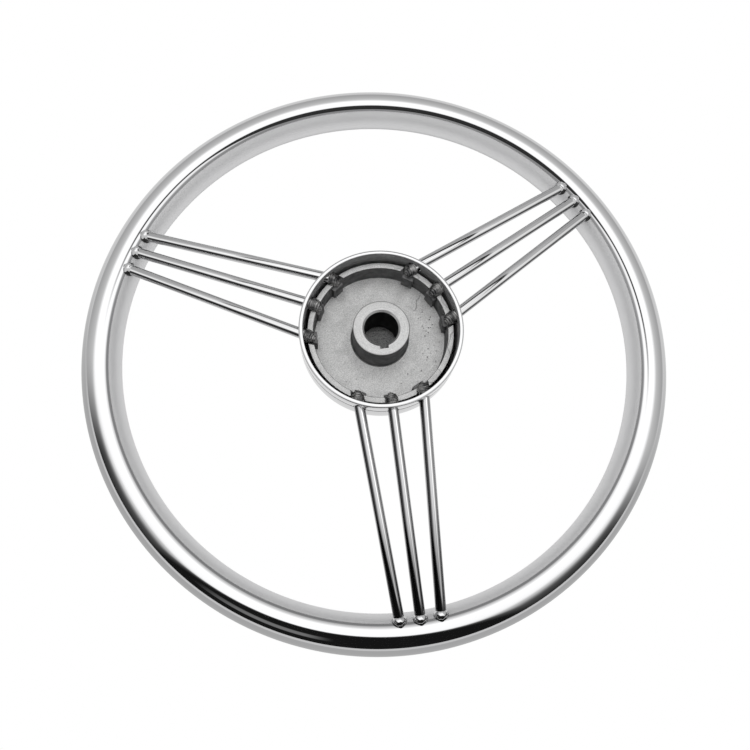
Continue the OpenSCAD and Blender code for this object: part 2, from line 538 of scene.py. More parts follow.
@dataclass(frozen=True)
class MirrorSteel:
    """Buffed stainless: a mirror with fine polishing lines around the wheel's axis and faint smears."""

    name: str = "mirror_steel"
    colour: Colour = (0.62, 0.62, 0.625, 1)
    gloss: float = 0.035
    smear: float = 0.05
    smear_scale: float = 60
    line_pitch: float = 0.25 * MM
    line_drift: float = 6
    line_gloss: float = 0.02
    line_depth: float = 0.0006 * MM

    def build(self) -> bpy.types.Material:
        """Makes the material.

        Returns:
            The finished material.
        """
        material, shader = new_shader(self.name)
        lines, smears = self._marks(shader)
        roughness = self.gloss + smears * self.smear + lines * self.line_gloss
        shader.steel(self.colour, roughness, shader.bump(lines, self.line_depth))
        return material

    def _marks(self, shader: Shader) -> tuple[Wire, Wire]:
        """The polishing lines and the smears.

        Args:
            shader: the material's shader.

        Returns:
            Both of them, from 0 to 1.
        """
        radius, height, turn = shader.around()
        x, y, _ = shader.parts(turn)
        place = shader.vector(radius / self.line_pitch, height / self.line_pitch, (x + y) * self.line_drift)
        smears = shader.noise(shader.spot(), self.smear_scale, 3).fade(0.45, 0.75)
        return shader.noise(place, 1, 2), smears


@dataclass(frozen=True, kw_only=True)
class RimSteel(MirrorSteel):
    """The rim's polish: a mirror that turns satin on the inner flank, where the buffing wheel can't reach;
    the flank's lighter colour is a painted sheen, and a painted dark reflection line runs along the flank's
    edge on the tube's upper half.

    Places on the tube are shares of its radius, inwards or upwards from its middle.
    """

    ring_r: float
    centre_z: float
    tube_r: float
    name: str = "rim_steel"
    smear: float = 0.03
    line_drift: float = 8
    line_gloss: float = 0.08
    satin: float = 0.42
    satin_and_sheen_colour: Colour = (0.70, 0.70, 0.705, 1)
    painted_line_colour: Colour = (0.27, 0.27, 0.275, 1)
    flank_start: Span = (0.50, 0.56)
    painted_line_start: Span = (0.40, 0.46)
    painted_line_end: Span = (0.52, 0.58)
    painted_line_low: Span = (0.0, 0.2)

    def build(self) -> bpy.types.Material:
        """Makes the material.

        Returns:
            The finished material.
        """
        material, shader = new_shader(self.name)
        lines, smears = self._marks(shader)
        radius, height, _ = shader.around()
        inward = (self.ring_r - radius) / self.tube_r
        upward = (height - self.centre_z) / self.tube_r
        flank = inward.fade(*self.flank_start)
        # A painted dark reflection line along the flank's edge on the tube's upper half, and a painted
        # sheen that makes the flank lighter.
        painted_line = inward.fade(*self.painted_line_start) * (1 - inward.fade(*self.painted_line_end))
        tint = shader.blend(flank, self.colour, self.satin_and_sheen_colour)
        tint = shader.blend(painted_line * upward.fade(*self.painted_line_low), tint, self.painted_line_colour)
        roughness = self.gloss + smears * self.smear + flank * (self.satin + lines * self.line_gloss)
        shader.steel(tint, roughness, shader.bump(lines, self.line_depth))
        return material


@dataclass(frozen=True)
class PaintedRodLine:
    """A painted reflection line along a rod, dark or bright: its place and half its width in turns around
    it, 0.75 being its top.
    """

    place: float
    half_width: float
    strength: float = 1.0
    softness: float = 0.35

    def mask(self, around: Wire) -> Wire:
        """Where the mark is.

        Args:
            around: the place around the rod, in turns.

        Returns:
            The mark's strength on it and 0 elsewhere, with soft edges.
        """
        soft = self.softness * self.half_width
        low, high = self.place - self.half_width, self.place + self.half_width
        inside = around.fade(low - soft, low + soft) * (1 - around.fade(high - soft, high + soft))
        return inside * self.strength


@dataclass(frozen=True)
class DrawnSteel:
    """Polished rod: a mirror with long draw lines, with painted dark reflection lines, a painted highlight
    along it and, on some rods, painted shade towards the rim.
    """

    name: str = "drawn_steel"
    colour: Colour = (0.58, 0.58, 0.585, 1)
    line_colour: Colour = (0.42, 0.42, 0.425, 1)
    painted_dark_colour: Colour = (0.03, 0.03, 0.031, 1)
    painted_highlight_colour: Colour = (0.97, 0.97, 0.97, 1)
    painted_dark_lines: tuple[PaintedRodLine, ...] = (PaintedRodLine(0.905, 0.032, 0.8),)
    painted_highlight: PaintedRodLine = PaintedRodLine(0.832, 0.03)
    rim_shade: float = 0.0
    rim_shade_start: Span = (0.72, 0.90)
    wander: float = 0.012
    gloss: float = 0.05
    line_gloss: float = 0.12
    line_depth: float = 0.004 * MM

    def build(self) -> bpy.types.Material:
        """Makes the material.

        Returns:
            The finished material.
        """
        material, shader = new_shader(self.name)
        u, v, _ = shader.parts(shader.node("ShaderNodeUVMap", {"uv_map": "UVMap"}))
        lines = shader.noise(shader.vector(u * 70, v * 5, 0), 1, 3)
        waves = shader.noise(shader.vector(u * 9, v * 14, 3), 1, 2)
        around = u + waves * self.wander
        tint = shader.blend(lines.fade(0.35, 0.6), self.line_colour, self.colour)
        # Painted highlight and painted dark reflection lines along the rod, then painted shade towards the
        # rim.
        tint = shader.blend(self.painted_highlight.mask(around), tint, self.painted_highlight_colour)
        for line in self.painted_dark_lines:
            tint = shader.blend(line.mask(around), tint, self.painted_dark_colour)
        tint = shader.blend(v.fade(*self.rim_shade_start) * self.rim_shade, tint, self.painted_dark_colour)
        roughness = self.gloss + lines.fade(0.4, 0.8) * self.line_gloss
        shader.steel(tint, roughness, shader.bump(lines * 0.6 + waves, self.line_depth))
        return material


@dataclass(frozen=True)
class BlastedCast:
    """Blasted investment casting: fine grain, soft mottling, pits and a few long scratches.

    Scales are in cycles for each metre.
    """

    name: str = "blasted_cast"
    dark: Colour = (0.34, 0.34, 0.34, 1)
    light: Colour = (0.72, 0.72, 0.715, 1)
    roughness: float = 0.5
    grain_scale: float = 1700
    mottle_scale: float = 140
    pit_scale: float = 420
    pit_patch_scale: float = 90
    pit_depth: float = 0.25 * MM
    swirl_scale: float = 42
    scratch_width: Span = (0.002, 0.007)
    scratch_x: Span = (8 * MM, 18 * MM)
    scratch_r: Span = (24 * MM, 28 * MM)

    def build(self) -> bpy.types.Material:
        """Makes the material.

        Returns:
            The finished material.
        """
        material, shader = new_shader(self.name)
        spot = shader.spot()
        grain = shader.noise(spot, self.grain_scale, 4, 0.75)
        mottle = shader.noise(spot, self.mottle_scale, 4)
        patches = shader.noise(spot, self.pit_patch_scale, 1).fade(0.5, 0.64)
        pits = (1 - shader.cells(spot, self.pit_scale).fade(0.04, 0.12)) * patches
        scratch = self._scratches(shader)
        # The pits and scratches are painted darker as well as sunk in the bump: painted shade in their
        # hollows.
        tone = (mottle * 0.25 + grain * 0.75).fade(0.3, 0.7) * (1 - pits * 0.9) * (1 - scratch * 0.8)
        height = grain * 0.25 - pits - scratch * 0.4
        shader.steel(shader.blend(tone, self.dark, self.light), self.roughness + mottle * 0.1,
                     shader.bump(height, self.pit_depth))
        return material

    def _scratches(self, shader: Shader) -> Wire:
        """Long scratches that swirl over the right-hand side of the plate.

        Args:
            shader: the material's shader.

        Returns:
            1 in a scratch and 0 elsewhere.
        """
        x, _, _ = shader.parts(shader.spot())
        radius, _, _ = shader.around()
        swirl = shader.noise(shader.spot(), self.swirl_scale, 2)
        apart = ((swirl - 0.5) ** 2) ** 0.5
        line = 1 - apart.fade(*self.scratch_width)
        return line * x.fade(*self.scratch_x) * radius.fade(*self.scratch_r)


@dataclass(frozen=True)
class DullFinishAndShade:
    """Dark, dull and a little streaked: painted shade on the casting's walls, in the bore, at the rim
    beads' feet and at the shells' seam, and the shells' own dull inside.
    """

    name: str = "painted_shade_walls"
    dark: Colour = (0.12, 0.12, 0.122, 1)
    light: Colour = (0.23, 0.23, 0.23, 1)
    roughness: float = 0.55
    grain_scale: float = 1500
    streak_scale: float = 260
    grain_depth: float = 0.04 * MM

    def build(self) -> bpy.types.Material:
        """Makes the material.

        Returns:
            The finished material.
        """
        material, shader = new_shader(self.name)
        grain = shader.noise(shader.spot(), self.grain_scale, 4, 0.6)
        streak = shader.noise(shader.spot(), self.streak_scale, 3)
        tone = (streak * 0.7 + grain * 0.3).fade(0.25, 0.75)
        shader.steel(shader.blend(tone, self.dark, self.light), self.roughness + grain * 0.15,
                     shader.bump(grain, self.grain_depth))
        return material


@dataclass(frozen=True)
class TurnedSteel:
    """A face cut on the lathe, with its fine rings."""

    name: str = "turned_steel"
    dark: Colour = (0.37, 0.37, 0.37, 1)
    light: Colour = (0.60, 0.60, 0.595, 1)
    roughness: float = 0.4
    pitch: float = 0.22 * MM
    drift: float = 1.5
    grain_scale: float = 1800
    depth: float = 0.01 * MM

    def build(self) -> bpy.types.Material:
        """Makes the material.

        Returns:
            The finished material.
        """
        material, shader = new_shader(self.name)
        radius, height, turn = shader.around()
        x, y, _ = shader.parts(turn)
        place = shader.vector(radius / self.pitch, height / self.pitch, (x - y) * self.drift)
        rings = shader.noise(place, 1, 2)
        grain = shader.noise(shader.spot(), self.grain_scale, 3)
        tone = (rings * 0.5 + grain * 0.5).fade(0.3, 0.7)
        shader.steel(shader.blend(tone, self.dark, self.light), self.roughness + grain * 0.1,
                     shader.bump(rings + grain, self.depth))
        return material


@dataclass(frozen=True)
class WeldMetal:
    """Weld metal as it froze: heat-darkened, lumpy, with a dull skin over bright spots."""

    name: str = "weld_metal"
    dark: Colour = (0.07, 0.07, 0.072, 1)
    light: Colour = (0.46, 0.455, 0.45, 1)
    roughness: float = 0.26
    skin_scale: float = 260
    grain_scale: float = 2200
    depth: float = 0.06 * MM

    def build(self) -> bpy.types.Material:
        """Makes the material.

        Returns:
            The finished material.
        """
        material, shader = new_shader(self.name)
        skin = shader.noise(shader.spot(), self.skin_scale, 3, 0.5)
        grain = shader.noise(shader.spot(), self.grain_scale, 3)
        tone = skin.fade(0.34, 0.7)
        shader.steel(shader.blend(tone, self.dark, self.light), self.roughness + skin * 0.25,
                     shader.bump(grain * 0.2 + skin, self.depth))
        return material


@dataclass(frozen=True)
class SealRubber:
    """Matt black rubber with a fine moulded grain."""

    name: str = "seal_rubber"
    dark: Colour = (0.012, 0.012, 0.012, 1)
    light: Colour = (0.03, 0.03, 0.03, 1)
    roughness: float = 0.55
    grain_scale: float = 1800
    depth: float = 0.01 * MM

    def build(self) -> bpy.types.Material:
        """Makes the material.

        Returns:
            The finished material.
        """
        material, shader = new_shader(self.name)
        grain = shader.noise(shader.spot(), self.grain_scale, 3)
        shader.steel(shader.blend(grain, self.dark, self.light), self.roughness + grain * 0.2,
                     shader.bump(grain, self.depth), 0)
        return material


# ---------------------------------------------------------------- sub-assemblies


@dataclass
class Rim:
    """The tube rim, a mirror-polished ring with a ground-flush butt weld."""

    around_steps: int = 360
    section_steps: int = 96
    tool_around_steps: int = 120
    tool_section_steps: int = 32
    weld_angle: float = math.radians(-90)
    weld_half_width: float = math.radians(0.8)
    weld_rise: float = -0.02 * MM
    ring_r: float = field(init=False)
    tube_r: float = field(init=False)
    centre_z: float = field(init=False)

    def __post_init__(self) -> None:
        """Reads the rim's sizes from its CAD node."""
        low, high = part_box("rim_tube")
        self.tube_r = (high.z - low.z) / 2
        self.ring_r = min(-low.x, high.x, -low.y, high.y) - self.tube_r
        self.centre_z = (high.z + low.z) / 2

    def tool(self) -> bpy.types.Object:
        """A coarser ring of the rim's size that copes what meets the rim."""
        return self.torus("rim_tool", self.tool_around_steps, self.tool_section_steps)

    def torus(self, name: str, around: int, section: int) -> bpy.types.Object:
        """A ring of the rim's size, for the rim itself or as a cutting tool.

        Args:
            name: the object's name.
            around: steps around the wheel.
            section: steps around the tube.

        Returns:
            The new ring.
        """
        bpy.ops.object.select_all(action="DESELECT")
        bpy.ops.mesh.primitive_torus_add(
            location=(0, 0, self.centre_z), major_radius=self.ring_r, minor_radius=self.tube_r,
            major_segments=around, minor_segments=section)
        ring = bpy.context.object
        ring.name = name
        settle(ring)
        return ring

    def build(self) -> None:
        """Models the rim and dresses it."""
        rim = self.torus("rim", self.around_steps, self.section_steps)
        with editing(rim) as mesh:
            pick_faces(rim, mesh, self._in_weld)
            bpy.ops.transform.shrink_fatten(value=self.weld_rise)
        smooth(rim, math.pi)
        polish = RimSteel(ring_r=self.ring_r, centre_z=self.centre_z, tube_r=self.tube_r)
        dress(rim, polish.build(), Body.WHEEL, Slot.POLISHED, "rim_tube")

    def _in_weld(self, face: bmesh.types.BMFace) -> bool:
        """Whether a face lies in the butt weld's band."""
        middle = face.calc_center_median()
        return abs(math.atan2(middle.y, middle.x) - self.weld_angle) < self.weld_half_width


@dataclass
class RodLine:
    """A rod's axis, read from its CAD node: it starts at the end in the hub and runs to the rim."""

    node: str
    start: Vector = field(init=False)
    run: Vector = field(init=False)
    radius: float = field(init=False)

    def __post_init__(self) -> None:
        """Finds the flat end in the hub, and the rod's direction square to it."""
        spots = [v.co.copy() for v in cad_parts[self.node].data.vertices]
        nearest = min(spots, key=lambda p: p.xy.length)
        farthest = max(spots, key=lambda p: p.xy.length)
        disc = [p for p in spots if (p - nearest).length < (p - farthest).length]
        low = Vector(min(p[i] for p in disc) for i in range(3))
        high = Vector(max(p[i] for p in disc) for i in range(3))
        self.start = (low + high) / 2
        self.radius = max((p - self.start).length for p in disc)
        first = disc[0] - self.start
        second = max((p - self.start for p in disc), key=lambda p: p.cross(first).length)
        self.run = first.cross(second).normalized()
        if self.run.dot(farthest - self.start) < 0:
            self.run.negate()

    def place(self, distance: float) -> Matrix:
        """A place on the axis, at a distance from the start, its Z along the rod and its X upward.

        Args:
            distance: how far along the axis, from the start.

        Returns:
            The place as a matrix.
        """
        up = Vector((0, 0, 1))
        across = (up - self.run * up.dot(self.run)).normalized()
        turn = Matrix((across, self.run.cross(across), self.run)).transposed().to_4x4()
        return Matrix.Translation(self.start + self.run * distance) @ turn

    def reach(self, rim: Rim) -> float:
        """The distance from the start at which the axis meets the rim tube.

        Args:
            rim: the rim that the rod runs to.

        Returns:
            The distance.
        """
        low, high = 0.0, 1.5 * rim.ring_r
        while high - low > 0.1 * WELD_DISTANCE:
            middle = (low + high) / 2
            spot = self.start + self.run * middle
            off_ring = math.hypot(spot.xy.length - rim.ring_r, spot.z - rim.centre_z)
            inside = off_ring < rim.tube_r or spot.xy.length > rim.ring_r
            low, high = (low, middle) if inside else (middle, high)
        return (low + high) / 2


def rod_tools(name: str, radius: float, length: float, middle: float) -> bpy.types.Object:
    """Round tools along all the rods, for notches and holes.

    Args:
        name: the tool's name.
        radius: its radius.
        length: its length along each rod.
        middle: how far its middle lies from the rod's start.

    Returns:
        The joined tools.
    """
    bpy.ops.object.select_all(action="DESELECT")
    bpy.ops.mesh.primitive_cylinder_add(vertices=ROD_SIDES, radius=radius, depth=length)
    lines = [RodLine(node) for group in Group for node in group.value]
    return joined(name, copies(bpy.context.object, [line.place(middle) for line in lines]))


@dataclass
class Spokes:
    """The nine polished rods, coped to the rim at their outer ends."""

    polish: dict[Group, bpy.types.Material]
    rim: Rim
    end_bevel: float = 0.4 * MM

    def build(self) -> None:
        """Models and dresses every rod."""
        tool = self.rim.tool()
        for group in Group:
            for node in group.value:
                self._rod(RodLine(node), tool, self.polish[group])
        bpy.data.objects.remove(tool)

    def _rod(self, line: RodLine, tool: bpy.types.Object, polish: bpy.types.Material) -> None:
        """Models one rod: a cylinder, bevelled in the hub and coped to the rim.

        Args:
            line: the rod's axis.
            tool: the ring that copes it.
            polish: its material.
        """
        length = line.reach(self.rim) + self.rim.tube_r / 2
        middle = line.place(length / 2)
        bpy.ops.object.select_all(action="DESELECT")
        bpy.ops.mesh.primitive_cylinder_add(
            vertices=ROD_SIDES, radius=line.radius, depth=length,
            location=middle.translation, rotation=middle.to_euler())
        rod = bpy.context.object
        rod.name = line.node.replace("spoke", "rod")
        settle(rod)
        start = line.start
        with editing(rod) as mesh:
            pick_faces(rod, mesh, lambda face: (face.calc_center_median() - start).length < WELD_DISTANCE)
            bpy.ops.mesh.bevel(offset=self.end_bevel, segments=2, affect="EDGES")
        combine(rod, tool, "DIFFERENCE", keep_tool=True)
        smooth(rod)
        dress(rod, polish, Body.WHEEL, Slot.POLISHED, line.node)


@dataclass
class RimWelds:
    """The polished collars of weld where the rods meet the rim."""

    polish: bpy.types.Material
    toe_shade: bpy.types.Material
    rim: Rim
    bead_r: float = 4.3 * MM
    squash: float = 0.86
    segments: int = 30
    rings: int = 16
    ripple: float = 0.16 * MM
    toe: float = 0.8 * MM
    shaded_toe: float = 3 * MM
    wide_shade_facing: float = 0.55

    def build(self) -> None:
        """Models and dresses the three groups' beads."""
        tool = self.rim.tool()
        model = self._bead()
        for group in Group:
            take(model)
            bpy.ops.object.duplicate(linked=False)
            lines = [RodLine(node) for node in group.value]
            beads = copies(bpy.context.object, [line.place(line.reach(self.rim)) for line in lines])
            piece = joined(f"rim_beads_{group.word}", beads)
            combine(piece, tool, "DIFFERENCE", keep_tool=True)
            smooth(piece, BEAD_ANGLE)
            paint(piece, self.polish)
            # Painted shade at each bead's foot on the rim, in a wider band on the far beads' faces turned
            # to -Y.
            assign(piece, self.toe_shade, self._is_toe)
            dress(piece, self.polish, Body.WHEEL, Slot.POLISHED, f"rim_welds_{group.word}")
        bpy.data.objects.remove(tool)
        bpy.data.objects.remove(model)

    def _bead(self) -> bpy.types.Object:
        """The model of a bead: a flattened ball around a rod's axis, scalloped around it.

        Returns:
            The model, at the origin.
        """
        bpy.ops.object.select_all(action="DESELECT")
        bpy.ops.mesh.primitive_uv_sphere_add(
            segments=self.segments, ring_count=self.rings, radius=self.bead_r, scale=(1, 1, self.squash))
        bead = bpy.context.object
        settle(bead)
        with editing(bead) as mesh:
            pick_faces(bead, mesh, self._in_valley)
            bpy.ops.transform.shrink_fatten(value=-self.ripple)
        finer = bead.modifiers.new("finer", "SUBSURF")
        finer.levels = finer.render_levels = 2
        take(bead)
        bpy.ops.object.modifier_apply(modifier=finer.name)
        return bead

    def _in_valley(self, face: bmesh.types.BMFace) -> bool:
        """Whether a face lies in every third strip along the rod.

        Args:
            face: a face of the piece.

        Returns:
            Whether it is in a valley of the bead.
        """
        spot = face.calc_center_median()
        strip = int((math.atan2(spot.y, spot.x) / FULL_TURN + 1) * self.segments)
        return strip % 3 == 0

    def _is_toe(self, face: bmesh.types.BMFace) -> bool:
        """Whether a face gets painted shade: in a narrow band where the bead meets the rim, and a wider
        band on the faces turned to -Y of the beads above the wheel's middle.

        Args:
            face: a face of the piece.

        Returns:
            Whether it is dark.
        """
        spot = face.calc_center_median()
        off_ring = math.hypot(spot.xy.length - self.rim.ring_r, spot.z - self.rim.centre_z)
        wide_shade = face.normal.y < -self.wide_shade_facing and spot.y > 0
        return off_ring < self.rim.tube_r + (self.shaded_toe if wide_shade else self.toe)


@dataclass
class HubWelds:
    """The dark, rippled thimbles of weld over the rods' ends in the hub."""

    metal: bpy.types.Material
    hub_wall: float = 2.3 * MM
    ring_gap: float = 2.2 * MM
    bead_r: float = 3.8 * MM
    ripple: float = 0.32 * MM
    pitch: float = 1.05 * MM
    foot_reach: float = 1.4 * MM
    foot_drop: float = 2.2 * MM
    foot_size: float = 6 * MM
    steps: int = 72
    steps_per_ripple: int = 8
    sleeve_end: float = 0.02 * MM
    lump: float = 0.2 * MM
    lump_size: float = 3.5 * MM
    lump_mid_level: float = 0.55

    def build(self) -> None:
        """Models and dresses the three groups' thimbles."""
        lumps = bpy.data.textures.new("weld_lumps", "CLOUDS")
        lumps.noise_scale = self.lump_size
        for group in Group:
            beads = [self._bead(RodLine(node), lumps) for node in group.value]
            piece = joined(f"hub_thimbles_{group.word}", beads)
            smooth(piece, LUMPY_ANGLE)
            dress(piece, self.metal, Body.WHEEL, Slot.WELD, f"hub_welds_{group.word}")

    def _bead(self, line: RodLine, lumps: bpy.types.Texture) -> bpy.types.Object:
        """One thimble: a rippled sleeve with a round closed end that droops onto its lug, a little lumpy.

        Args:
            line: the rod's axis.
            lumps: the texture that makes it lumpy.

        Returns:
            The thimble.
        """
        hub_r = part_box("hub_rear_shell")[1].x
        length = hub_r - self.hub_wall - self.ring_gap / 2 - line.start.xy.length
        along = 0.5 * math.pi * self.bead_r
        count = self.steps_per_ripple * int((length + along) / self.pitch)
        outline: list[Point] = [(line.radius, length)]
        for i in range(count):
            way = (length + along) * i / count
            radius = self.bead_r + self.ripple * (math.cos(FULL_TURN * way / self.pitch) - 1) / 2
            angle = max(0, way - length) / self.bead_r
            outline.append((radius * math.cos(angle), max(0, length - way) - radius * math.sin(angle)))
        outline += [(0, -self.bead_r), (0, -self.sleeve_end), (line.radius, -self.sleeve_end)]
        outline.append((line.radius, length))
        bead = turned("thimble", outline, self.steps, line.place(0))
        tip = line.place(-self.bead_r).translation
        inward = Vector((-tip.x, -tip.y, 0)).normalized()
        with editing(bead, "VERT") as mesh:
            for vert in mesh.verts:
                vert.select_set((vert.co - tip).length < WELD_DISTANCE)
            bpy.ops.transform.translate(
                value=inward * self.foot_reach + Vector((0, 0, -self.foot_drop)),
                use_proportional_edit=True, proportional_edit_falloff="SMOOTH",
                proportional_size=self.foot_size)
        push = bead.modifiers.new("lumps", "DISPLACE")
        push.texture = lumps
        push.strength = self.lump
        push.mid_level = self.lump_mid_level
        take(bead)
        bpy.ops.object.modifier_apply(modifier=push.name)
        return bead


@dataclass
class Casting:
    """The cast core: plate, shaft boss, upstand ring with notches, and the lugs below the rods' ends."""

    cast: bpy.types.Material
    walls: bpy.types.Material
    machined: bpy.types.Material
    dark: bpy.types.Material
    bore_r: float = 9.525 * MM
    bore_chamfer: float = 1 * MM
    boss_r: float = 15.75 * MM
    plate_drop: float = 22 * MM
    plate_t: float = 6 * MM
    ring_drop: float = 8 * MM
    ring_t: float = 3.3 * MM
    fillet: float = 1.5 * MM
    edge: float = 0.35 * MM
    key_w: float = 4.8 * MM
    key_depth: float = 2.3 * MM
    lug_w: float = 6.8 * MM
    lug_proud: float = 2.2 * MM
    bead_r: float = 3.8 * MM
    bead_fit: float = 0.1 * MM
    shoulder_centre_r: float = 29.5 * MM
    shoulder_r: float = 13.6 * MM
    side_drop: float = 18.6 * MM
    pit_seed: int = 7
    pit_tries: int = 30
    pit_angle: float = -8
    pit_spread: float = 26
    pit_zone: Span = (0.72, 0.97)
    pit_r: Span = (0.25, 0.55)
    pit_gap: float = 1 * MM
    pit_sink: float = 0.3
    steps: int = 240
    boss_z: float = field(init=False)
    bore_z: float = field(init=False)
    ring_r: float = field(init=False)
    plate_z: float = field(init=False)
    ring_z: float = field(init=False)
    side_z: float = field(init=False)
    lines: list[RodLine] = field(init=False)

    def __post_init__(self) -> None:
        """Reads the casting's heights and width from the CAD."""
        low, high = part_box("hub_casting")
        rear_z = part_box("hub_rear_shell")[1].z
        self.boss_z = high.z
        self.bore_z = low.z
        self.ring_r = high.x
        self.plate_z = rear_z - self.plate_drop
        self.ring_z = rear_z - self.ring_drop
        self.side_z = rear_z - self.side_drop
        self.lines = [RodLine(node) for group in Group for node in group.value]

    def outline(self) -> list[Point]:
        """Half-section of the casting: bore, boss, plate and upstand ring.

        Returns:
            The closed outline's points.
        """
        inner = self.ring_r - self.ring_t
        front = self.plate_z - self.plate_t
        drop = self.side_z - front
        corner_r = self.shoulder_centre_r + math.sqrt(max(0, self.shoulder_r**2 - drop**2))
        shoulder_top = self.side_z - math.sqrt(
            max(0, self.shoulder_r**2 - (self.ring_r - self.shoulder_centre_r) ** 2))
        chamfer = self.bore_chamfer
        return rounded([
            (self.bore_r, self.bore_z + chamfer, 0),
            (self.bore_r, self.boss_z - chamfer, 0),
            (self.bore_r + chamfer, self.boss_z, 0),
            (self.boss_r, self.boss_z, 2 * self.edge),
            (self.boss_r, self.plate_z, self.fillet),
            (inner, self.plate_z, self.fillet / 2),
            (inner, self.ring_z, self.edge),
            (self.ring_r, self.ring_z, self.edge),
            (self.ring_r, shoulder_top, self.edge),
            (corner_r, front, self.edge),
            (self.boss_r, front, self.fillet / 2),
            (self.boss_r, self.bore_z, self.edge),
            (self.bore_r + chamfer, self.bore_z, 0),
        ])

    def build(self) -> None:
        """Models the casting and dresses it."""
        casting = turned("casting", self.outline(), self.steps)
        combine(casting, self._lugs(), "UNION")
        combine(casting, self._notch_tool(), "DIFFERENCE")
        combine(casting, self._key_tool(), "DIFFERENCE")
        combine(casting, self._pit_tool(), "DIFFERENCE")
        smooth(casting)
        paint(casting, self.cast)
        # Painted shade: the dark dull finish on standing walls, rounded edges and lug tops.
        assign(casting, self.walls, self._is_wall)
        assign(casting, self.machined, self._is_machined)
        # Near-black painted shade on the bore's wall.
        assign(casting, self.dark, self._is_bore)
        dress(casting, self.cast, Body.WHEEL, Slot.CAST, "hub_casting")

    def _is_wall(self, face: bmesh.types.BMFace) -> bool:
        """Whether a face is a standing wall, a rounded edge or the top of a lug.

        Args:
            face: a face of the piece.

        Returns:
            Whether it is one of them.
        """
        height = face.calc_center_median().z
        lug_top = self.plate_z + self.edge < height < self.ring_z - self.fillet
        return face.normal.z < 0.9 or lug_top

    def _is_machined(self, face: bmesh.types.BMFace) -> bool:
        """Whether a face is the boss's top, or in the keyway.

        Args:
            face: a face of the piece.

        Returns:
            Whether it was cut on a machine.
        """
        middle = face.calc_center_median()
        on_boss = middle.xy.length < self.boss_r
        on_top = middle.z > self.boss_z - self.bore_chamfer and face.normal.z > 0.6
        in_key = self.bore_r < middle.xy.length < self.boss_r - self.edge and face.normal.z < 0.3
        return on_boss and (on_top or in_key)

    def _is_bore(self, face: bmesh.types.BMFace) -> bool:
        """Whether a face is the bore's own wall."""
        middle = face.calc_center_median()
        return abs(face.normal.z) < 0.3 and middle.xy.length < self.bore_r + self.bore_chamfer / 4

    def _block(self, size: Vector, place: Matrix) -> bpy.types.Object:
        """A block of a size, centred on a place.

        Args:
            size: its width, depth and height.
            place: the place of its middle.

        Returns:
            The block.
        """
        bpy.ops.object.select_all(action="DESELECT")
        bpy.ops.mesh.primitive_cube_add(
            size=1, location=place.translation, rotation=place.to_euler(), scale=size)
        block = bpy.context.object
        settle(block)
        return block

    def _lugs(self) -> bpy.types.Object:
        """The blocks below the rods' ends, with their standing edges bevelled.

        Returns:
            The nine lugs in one object.
        """
        top = min(line.start.z for line in self.lines) - self.bead_r - self.bead_fit
        low = self.plate_z - self.edge
        out_r = self.ring_r - self.ring_t / 2
        in_r = self.ring_r - self.ring_t - self.lug_proud
        spot = Matrix.Translation(((in_r + out_r) / 2, 0, (top + low) / 2))
        lug = self._block(Vector((out_r - in_r, self.lug_w, top - low)), spot)
        with editing(lug, "EDGE"):
            bpy.ops.mesh.select_all(action="SELECT")
            bpy.ops.mesh.bevel(offset=self.edge, segments=2, affect="EDGES")
        angles = [math.atan2(line.start.y, line.start.x) for line in self.lines]
        return joined("lugs", copies(lug, [Matrix.Rotation(angle, 4, "Z") for angle in angles]))

    def _notch_tool(self) -> bpy.types.Object:
        """Round tools along the rods, which cut the notches of the upstand ring."""
        length = 2 * (self.bead_r + self.lug_proud) + self.ring_t
        return rod_tools("notch_tool", self.bead_r + self.bead_fit, length, 0)

    def _key_tool(self) -> bpy.types.Object:
        """The tool that cuts the keyway, on the -Y side.

        Returns:
            The tool.
        """
        depth = self.bore_r + self.key_depth
        height = 2 * (self.boss_z - self.bore_z)
        spot = Matrix.Translation((0, -depth / 2, (self.boss_z + self.bore_z) / 2))
        return self._block(Vector((self.key_w, depth, height)), spot)

    def _pit_tool(self) -> bpy.types.Object:
        """Small balls that cut casting pits in the plate, most of them by the right-hand lugs.

        Returns:
            The balls in one object.
        """
        draw = random.Random(self.pit_seed)
        places: list[Matrix] = []
        for _ in range(self.pit_tries):
            angle = math.radians(draw.gauss(self.pit_angle, self.pit_spread))
            radius = draw.uniform(*self.pit_zone) * (self.ring_r - self.ring_t - self.lug_proud)
            size = draw.uniform(*self.pit_r) * MM
            height = self.plate_z + self.pit_sink * size
            spot = Vector((radius * math.cos(angle), radius * math.sin(angle), height))
            if all((spot - place.translation).length >= self.pit_gap for place in places):
                places.append(Matrix.Translation(spot) @ Matrix.Scale(size, 4))
        bpy.ops.object.select_all(action="DESELECT")
        bpy.ops.mesh.primitive_ico_sphere_add(subdivisions=2, radius=1)
        return joined("pit_tool", copies(bpy.context.object, places))


